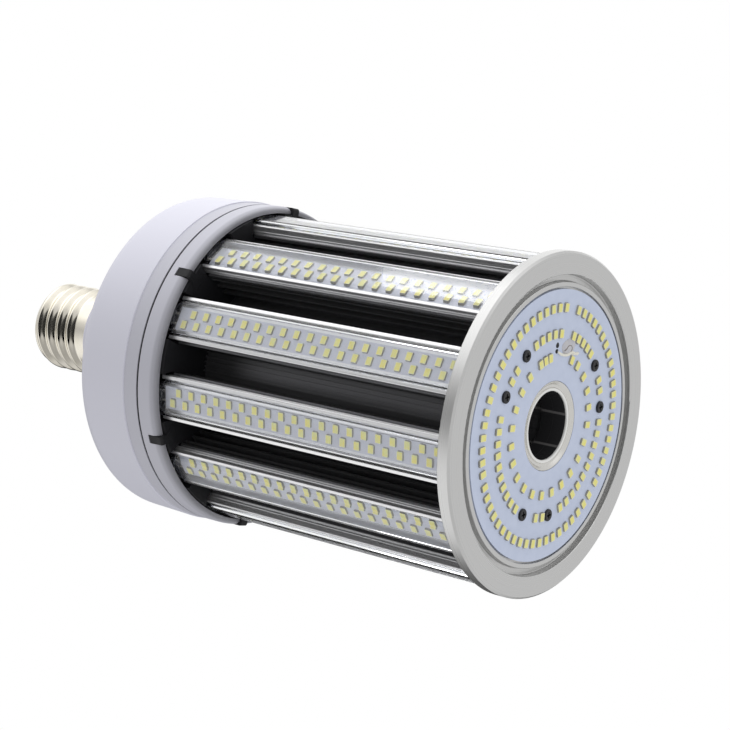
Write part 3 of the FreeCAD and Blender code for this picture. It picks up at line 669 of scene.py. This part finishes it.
# Strip covers: clear moulded caps that snap between the lips of each channel. A cover is open
# underneath and at the ring, and its far end is closed and rounded.
cover_wall = 1.0
shoulder_round = 1.6
plan_round = 4.5
wire_gap_half = 3.0
wire_gap_height = 1.5
gap_slant = 0.05


def cover_half(inset, foot, front, end, half, top, rows=12, rows_round=9, arc_points=7):
    """One skin of the cover as a grid: rows run along its plan, columns over it.

    A row starts at the plan's edge, rises straight from the foot, turns inwards on the shoulder
    and crosses to the mirror point. The plan's edge runs straight, turns a quarter round at
    the far corner, and ends in the middle of the end wall, where both halves meet. A gap for
    the wires is left under the end wall.
    """
    side = half - inset
    last = end - inset
    corner = plan_round - inset
    quarter = np.linspace(0, math.pi / 2, rows_round)
    straight = np.linspace(front, last - corner, rows)[:-1]
    t = np.concatenate([np.full(straight.size, side), side - corner + corner * np.cos(quarter),
                        [wire_gap_half + gap_slant, wire_gap_half - gap_slant, 0.0]])
    z = np.concatenate([straight, last - corner + corner * np.sin(quarter), [last] * 3])
    inward_t = np.concatenate([np.full(straight.size, -1.0), -np.cos(quarter), [0.0] * 3])
    inward_z = np.concatenate([np.zeros(straight.size), -np.sin(quarter), [-1.0] * 3])
    shoulder = shoulder_round - inset / 2
    bend = np.linspace(0, math.pi / 2, arc_points)
    reach = np.concatenate([[0.0, 0.0], shoulder * (1 - np.cos(bend))])
    lowest = np.where(t < wire_gap_half, foot + wire_gap_height, foot)
    straight_top = top - inset - shoulder
    height = np.empty((t.size, reach.size))
    height[:, 0] = lowest
    height[:, 1] = (lowest + straight_top) / 2
    height[:, 2:] = straight_top + shoulder * np.sin(bend)
    right = np.stack([height, t[:, None] + inward_t[:, None] * reach[None, :],
                      z[:, None] + inward_z[:, None] * reach[None, :]], axis=2)
    right[:, :, 1] = np.maximum(right[:, :, 1], 0)
    left = right[:, ::-1].copy()
    left[:, :, 1] *= -1
    return np.concatenate([right, left], axis=1)


cover_low, cover_high = box_mm("strip_cover_01")
limits = (cover_low[0], cover_low[2], cover_high[2], cover_high[1], cover_high[0])
inner_skin = cover_half(cover_wall, *limits)
skin = np.concatenate([cover_half(0.0, *limits), inner_skin[:, ::-1]], axis=1)
cover_rows, cover_columns = skin.shape[:2]
cover_faces = grid_faces(cover_rows, cover_columns, wrap_columns=True).tolist()
cover_faces.append(list(range(cover_columns)))

clear_plastic, shader = start_material("clear_plastic", (0.97, 0.98, 1.0), 0.03)
shader.inputs["Transmission Weight"].default_value = 1.0
shader.inputs["IOR"].default_value = 1.46
vary(shader, grain(shader, 300, (1, 1, 0.2)), "Roughness", 0.02, 0.06)
relief(shader, grain(shader, 60, (1, 1, 0.3), 1.0), 0.00006, 0.25)
for index in range(strip_count):
    number = "%02d" % (index + 1)
    add_piece("cover_moulding_" + number, on_strip(skin.reshape(-1, 3), index), cover_faces,
              [clear_plastic], ["strip_cover_" + number], merge=True)

# Rear plate: one black moulding of glass-filled plastic, screwed to the far end of the heat
# sink. It has a pocket for the end of each strip, and six hooks that latch over the rim of the
# housing.
black_moulding, shader = start_material("black_moulding", (0.014, 0.014, 0.016), 0.55)
shader.inputs["Specular IOR Level"].default_value = 0.25
vary(shader, grain(shader, 400), "Roughness", 0.48, 0.62)
relief(shader, grain(shader, 6000), 0.000015, 0.6)
dress("rear_plate", black_moulding)

# Link board and pins: a ring of green circuit board behind the plate, and the tinned brass
# pins that join it to the strips.
green, shader = start_material("green_board", (0.02, 0.16, 0.06), 0.4)
blotches = grain(shader, 700, detail=1.0)
vary(shader, blotches, "Base Color", (0.015, 0.12, 0.045), (0.03, 0.2, 0.08), 0.48, 0.52)
tinned, shader = start_material("tinned_brass", (0.75, 0.72, 0.64), 0.25, 1.0)
relief(shader, grain(shader, 4000), 0.00001, 0.4)
dress("link_board", green)
dress("strip_pins", tinned)

# Front ring: turned from an aluminium casting, with fine tool lines on its face and its side.
# It stands round the front board, in front of the ends of the strips.
turned, shader = start_material("turned_aluminium", (0.63, 0.63, 0.625), 0.30, 0.86)
lines = turned_lines(shader, 3500)
vary(shader, lines, "Roughness", 0.26, 0.34)
vary(shader, lines, "Base Color", (0.61, 0.61, 0.605), (0.65, 0.65, 0.645))
relief(shader, lines, 0.000004, 0.4)
dress("front_ring", turned)

# Front board: a round aluminium circuit board with a white coating of a bluer cast than the
# strips' coating.
front_coating = coat("front_coating", (0.59, 0.66, 0.84), (0.63, 0.70, 0.88))
dress("front_board", front_coating)

# Front diodes: the same packages as on the strips, of white plastic with yellow phosphor. They
# are soldered down in three rings, with gaps at the screws.
outer_inset = 7.05
start_angle = 10.98
front_low, front_high = box_mm("front_board")
front_radius = front_high[0]
middle_circle = 35.6
inner_circle = 26.9
diode_rings = (
    (front_radius - outer_inset, ((0.0, 5.88, 20), (118.5, 5.93, 20), (238.75, 5.78, 20))),
    (middle_circle, ((53.25, 7.75, 2), (84.7, 7.35, 10), (176.5, 7.5, 2), (204.5, 7.4, 10),
                     (292.0, 7.5, 2), (321.5, 6.4, 5), (362.0, 7.0, 5))),
    (inner_circle, ((14.5, 7.0, 3), (45.5, 14.95, 20), (340.75, 0.0, 1))),
)
places = []
for circle, groups in diode_rings:
    for first, step, count in groups:
        for angle in np.radians(start_angle - first - step * np.arange(count)):
            out = np.array([math.cos(angle), math.sin(angle), 0])
            across = np.array([math.sin(angle), -math.cos(angle), 0])
            down = np.array([0, 0, -1.0])
            spot = out * circle - down * front_low[2]
            places.append(np.column_stack([out, across, down, spot]))
points, faces, finishes = copies(*package(), np.array(places))
add_piece("front_diodes", points, faces, diode_finishes, ["front_leds"], finishes)

# Screws: pan head screws of dark plated steel with a cross recess. They hold the front board
# and the rear plate to the bosses of the heat sink.
plated, shader = start_material("plated_steel", (0.035, 0.035, 0.038), 0.25, 0.8)
vary(shader, grain(shader, 2500), "Roughness", 0.18, 0.32)
dress("sink_screws", plated)

# Vent collar: a thin aluminium eyelet, pressed into the mouth of the vent. Its lip is bare and
# satin.
# The bead inside the lip is white and not metallic, a painted highlight. Its tube is tinted near
# black, painted shade inside the vent, with the seams.
collar_tube_start = 0.0024
collar_tube_wall = 0.0136
collar_bead_edge = 0.0143
soft_edge = 0.0002

satin, shader = start_material("satin_eyelet", (0.74, 0.73, 0.70), 0.22)
lines = turned_lines(shader, 2500)
vary(shader, lines, "Roughness", 0.16, 0.28)
relief(shader, lines, 0.000008, 0.4)
beyond_bead = collar_bead_edge + soft_edge
# Painted highlight: the bead is made white and not metallic, so it shows as a bright ring.
vary(shader, from_axis(shader), "Metallic", 0.0, 0.8, collar_bead_edge, beyond_bead)
bead = share_of(shader, from_axis(shader), beyond_bead, collar_bead_edge)
tint(shader, bead, (0.90, 0.90, 0.88))
# Painted shade: the tube inside the vent is tinted near black.
tube_shade = share_of(shader, height_of(shader), collar_tube_start, collar_tube_start + soft_edge)
tint(shader, tube_shade, (0.03, 0.03, 0.032))
lines = seams(shader, seam_directions, collar_tube_wall, collar_tube_start)
tint(shader, lines, (0.17, 0.165, 0.165))
dress("vent_collar", satin)

# Wire seal: a blob of milky silicone over the hole where the two wires come out, squeezed out
# by hand: a low dome, a curl that was drawn off beside it, and a few crumbs.
board_face = front_low[2]
seal_place = (29.1, 11.6)
seal_half = (3.1, 4.7)
seal_height = 0.85
plug_place = (28.72, 9.66)
plug_radius = 2.5
plug_corners = 32
white_curl = ((28.6, 3.4), (27.3, 5.4), (26.4, 7.8), (26.0, 10.6), (26.5, 13.2), (25.9, 15.4))
grey_curl = ((26.9, 12.0), (28.0, 13.0), (29.3, 12.2), (29.5, 10.4), (28.6, 9.2), (28.0, 7.9))
white_radius, white_lift = 0.56, 0.37
grey_radius, grey_sink = 0.36, 0.3
crumbs = ((25.5, 15.2, 0.75, 1.7), (25.1, 17.6, 0.7, 1.4))
crumb_height = 0.6


def low_dome(place, half, height, foot, rows=9, columns=28):
    """Closed dome on the board: an ellipse whose height falls as the root of one less the square.

    Its outline swells and shrinks by a twentieth, three times round.
    """
    share = np.sin(np.linspace(0, math.pi / 2, rows))[1:]
    turn = np.linspace(0, 2 * math.pi, columns, endpoint=False)
    swell = 1 + 0.05 * np.cos(3 * turn + place[0])
    x = place[0] + half[0] * share[:, None] * (np.cos(turn) * swell)[None, :]
    y = place[1] + half[1] * share[:, None] * (np.sin(turn) * swell)[None, :]
    z = np.broadcast_to((foot - height * np.sqrt(1 - share ** 2))[:, None], x.shape)
    points = np.vstack([np.stack([x, y, z], axis=2).reshape(-1, 3), [(*place, foot - height)]])
    faces = grid_faces(rows - 1, columns, wrap_columns=True)[:, ::-1].tolist()
    top = len(points) - 1
    faces.extend([[top, (k + 1) % columns, k] for k in range(columns)])
    last = (rows - 2) * columns
    faces.append(list(range(last, last + columns)))
    return points, faces


def smooth_path(places, height, steps=8):
    """Curve through the places, each stretch a cubic that takes its slopes from its neighbours."""
    places = np.array(places, float)
    places = np.vstack([2 * places[0] - places[1], places, 2 * places[-1] - places[-2]])
    t = np.linspace(0, 1, steps, endpoint=False)[None, :, None]
    before, first, second, after = (places[k:len(places) - 3 + k][:, None, :] for k in range(4))
    curve = 0.5 * (2 * first + (second - before) * t
                   + (2 * before - 5 * first + 4 * second - after) * t ** 2
                   + (3 * first - before - 3 * second + after) * t ** 3)
    flat = np.vstack([curve.reshape(-1, 2), places[-2]])
    return np.column_stack([flat, np.full(len(flat), height)])


def bead_along(path, radius, columns=10):
    """Round bead along a level path, closed by small faces at both ends.

    Its radius falls towards the ends as the root of 1.02 less the sixth power of the share of
    the way from the middle, -1 to 1.
    """
    ahead = np.gradient(path, axis=0)
    ahead /= np.linalg.norm(ahead, axis=1)[:, None]
    side = np.stack([-ahead[:, 1], ahead[:, 0], np.zeros(len(path))], axis=1)
    share = np.linspace(-1, 1, len(path))
    thick = radius * np.sqrt(np.clip(1.02 - share ** 6, 0.02, 1))
    turn = np.linspace(0, 2 * math.pi, columns, endpoint=False)[None, :, None]
    ring = side[:, None, :] * np.cos(turn) + np.array([0, 0, 1.0]) * np.sin(turn)
    points = (path[:, None, :] + thick[:, None, None] * ring).reshape(-1, 3)
    faces = grid_faces(len(path), columns, wrap_columns=True).tolist()
    faces.append(list(range(columns)))
    faces.append(list(range(len(points) - columns, len(points)))[::-1])
    return points, faces


def joined(parts):
    """Several meshes as one: points, faces and a finish number for each face."""
    points, faces, finishes = [], [], []
    for part_points, part_faces, finish in parts:
        start = sum(len(part) for part in points)
        points.append(part_points)
        faces.extend([[corner + start for corner in face] for face in part_faces])
        finishes.extend([finish] * len(part_faces))
    return np.vstack(points), faces, finishes


turn = np.linspace(0, 2 * math.pi, plug_corners, endpoint=False)
plug_outline = np.stack([plug_place[0] + plug_radius * np.cos(turn),
                         plug_place[1] + plug_radius * np.sin(turn)], axis=1)
plug = extruded(plug_outline, board_face, box_mm("wire_seal")[1][2])
white_path = smooth_path(white_curl, board_face - white_lift)
grey_path = smooth_path(grey_curl, board_face - seal_height + grey_sink)
parts = [(*low_dome(seal_place, seal_half, seal_height, board_face), 0), (*plug, 0)]
parts.append((*bead_along(white_path, white_radius), 1))
parts.append((*bead_along(grey_path, grey_radius), 2))
for x, y, half_x, half_y in crumbs:
    parts.append((*low_dome((x, y), (half_x, half_y), crumb_height, board_face, 5, 12), 1))
milky, shader = start_material("milky_silicone", (0.58, 0.58, 0.62), 0.30)
vary(shader, grain(shader, 500), "Base Color", (0.54, 0.54, 0.60), (0.64, 0.63, 0.64))
relief(shader, grain(shader, 900), 0.0001, 0.4)
pale_silicone, shader = start_material("pale_silicone", (0.90, 0.88, 0.78), 0.35)
relief(shader, grain(shader, 900), 0.0001, 0.4)
grey_silicone, shader = start_material("grey_silicone", (0.24, 0.22, 0.21), 0.40)
relief(shader, grain(shader, 900), 0.0001, 0.4)
points, faces, finishes = joined(parts)
add_piece("silicone_seal", points, faces, [milky, pale_silicone, grey_silicone],
          ["wire_seal"], finishes)

# Test holes: two small holes in the front board beside the seal. Each is a thin black dome on the
# board's coating: painted shade for the dark inside of the hole.
test_holes = ((30.9, 3.7, 1.1, 1.1), (28.7, 3.2, 0.9, 1.0))
edge_height = 0.03

hole_shade_black, shader = start_material("hole_shade_black", (0.012, 0.012, 0.013), 0.7)
parts = [(*low_dome((x, y), (half_x, half_y), edge_height, board_face, 3, 16), 0)
         for x, y, half_x, half_y in test_holes]
points, faces, finishes = joined(parts)
add_piece("board_test_holes", points, faces, [hole_shade_black], [], finishes)

# Housing rim, gasket and driver housing: white moulded plastic with a fine spark grain, and a
# thin rubber ring between rim and housing. Rim and band are a shade greyer than the drum, and the
# rim's nose carries painted shade, greyer still towards its front edge.
nose_start = 0.1434
nose_middle = 0.1452
nose_end = 0.1470
drum_start = 0.1606

plastic, shader = start_material("white_plastic", (0.28, 0.28, 0.31), 0.42)
# Painted shade on the rim's nose: the greys darken towards its front edge.
for begin, end, colour in ((nose_start, nose_middle, (0.42, 0.42, 0.47)),
                           (nose_middle, nose_end, (0.54, 0.54, 0.605)),
                           (drum_start - soft_edge, drum_start, (0.70, 0.70, 0.79))):
    tint(shader, share_of(shader, height_of(shader), begin, end), colour)
vary(shader, grain(shader, 2500), "Roughness", 0.36, 0.5)
relief(shader, grain(shader, 3500), 0.00002, 0.35)
dress("housing_rim", plastic)
dress("driver_housing", plastic)
rubber, shader = start_material("black_rubber", (0.02, 0.02, 0.022), 0.7)
relief(shader, grain(shader, 3000), 0.00002, 0.5)
dress("housing_gasket", rubber)

# Driver: a green circuit board on tinned brass posts inside the housing, with a ferrite
# transformer, a choke of copper wire and sleeved capacitors. Its wires are insulated with
# silicone, red to the front board and white to the cap.
dress("driver_board", green)
dress("driver_standoffs", tinned)
ferrite, shader = start_material("ferrite", (0.05, 0.05, 0.055), 0.5)
relief(shader, grain(shader, 2500), 0.00002, 0.5)
dress("driver_transformer", ferrite)
copper, shader = start_material("copper_winding", (0.72, 0.32, 0.16), 0.3, 1.0)
relief(shader, grain(shader, 800, (1, 1, 4)), 0.0002, 0.8)
dress("driver_choke", copper)
sleeve, shader = start_material("capacitor_sleeve", (0.03, 0.05, 0.12), 0.35)
vary(shader, grain(shader, 400), "Roughness", 0.28, 0.42)
dress("driver_capacitors", sleeve)
red, shader = start_material("red_silicone", (0.55, 0.04, 0.03), 0.5)
relief(shader, grain(shader, 2000), 0.00001, 0.5)
dress("board_leads", red)
pale, shader = start_material("white_silicone", (0.75, 0.75, 0.72), 0.5)
relief(shader, grain(shader, 2000), 0.00001, 0.5)
dress("mains_leads", pale)

# Cap shell: nickel plated brass sheet, rolled into a coarse right hand thread above a plain
# skirt. Its far edge is turned in to hold the glass.
thread_pitch = 6.35
thread_depth = 1.8
sheet = 0.5
shoulder = 0.9
shoulder_width = 3.4
thread_start_angle = math.radians(108.6)
thread_start_height = 243.28
run_in = 0.3
run_out = 2.4
shell_columns, shell_rows, bend_rows = 180, 150, 9

shell_low, shell_high = box_mm("cap_shell")
root = shell_high[0] - thread_depth
neck_end, cap_end = shell_low[2], shell_high[2]
thread_top = cap_end - shoulder


def ease(share):
    """Smooth step from 0 to 1."""
    share = np.clip(share, 0, 1)
    return share * share * (3 - 2 * share)


def thread_radius(angle, height):
    """Radius of the rolled sheet: the root, plus a cosine wave that climbs one pitch a turn.

    The wave is counted in turns from where the thread starts. It grows out of the skirt over
    the first part of a turn, and sinks back into the shoulder just below the end.
    """
    share = np.mod(angle - thread_start_angle, 2 * math.pi) / (2 * math.pi)
    turns = (height - thread_start_height) / thread_pitch - share
    crest = np.round(turns)
    along = crest + share
    size = ease(along / run_in) * ease((cap_end - height) / run_out)
    return root + thread_depth * size * (0.5 + 0.5 * np.cos(2 * math.pi * (turns - crest)))


around = np.linspace(0, 2 * math.pi, shell_columns, endpoint=False)
climb = np.linspace(neck_end, thread_top, shell_rows)
bend = np.linspace(0, math.pi / 2, bend_rows)[1:]
outer_wall = thread_radius(around[:, None], climb[None, :])
edge = outer_wall[:, -1:] - root + shoulder
over = root - shoulder + edge * np.cos(bend)
under = root - shoulder + (edge - sheet) * np.cos(bend)
lip = np.full((around.size, 2), root - shoulder_width)
inner_wall = outer_wall[:, ::-1] - sheet
radius = np.concatenate([outer_wall, over, lip, under[:, ::-1], inner_wall], axis=1)
height = np.concatenate([climb, thread_top + shoulder * np.sin(bend), [cap_end, cap_end - sheet],
                         thread_top + (shoulder - sheet) * np.sin(bend[::-1]), climb[::-1]])
points = np.stack([radius * np.cos(around)[:, None], radius * np.sin(around)[:, None],
                   np.broadcast_to(height, radius.shape)], axis=2)
faces = grid_faces(around.size, height.size, True, True).tolist()

nickel, shader = start_material("nickel_plate", (0.77, 0.73, 0.64), 0.16, 1.0)
vary(shader, turned_lines(shader, 1800), "Roughness", 0.12, 0.22)
vary(shader, grain(shader, 200), "Base Color", (0.74, 0.70, 0.60), (0.80, 0.76, 0.68))
add_piece("rolled_shell", points.reshape(-1, 3), faces, [nickel], ["cap_shell"])

# Insulator and contact: a cone of black glass in the end of the cap, and the tinned brass
# contact on it.
glass, shader = start_material("black_glass", (0.012, 0.012, 0.014), 0.08)
relief(shader, grain(shader, 300), 0.0001, 0.3)
dress("cap_insulator", glass)
contact, shader = start_material("contact_brass", (0.72, 0.66, 0.52), 0.3, 1.0)
vary(shader, grain(shader, 900), "Roughness", 0.2, 0.4)
dress("cap_contact", contact)
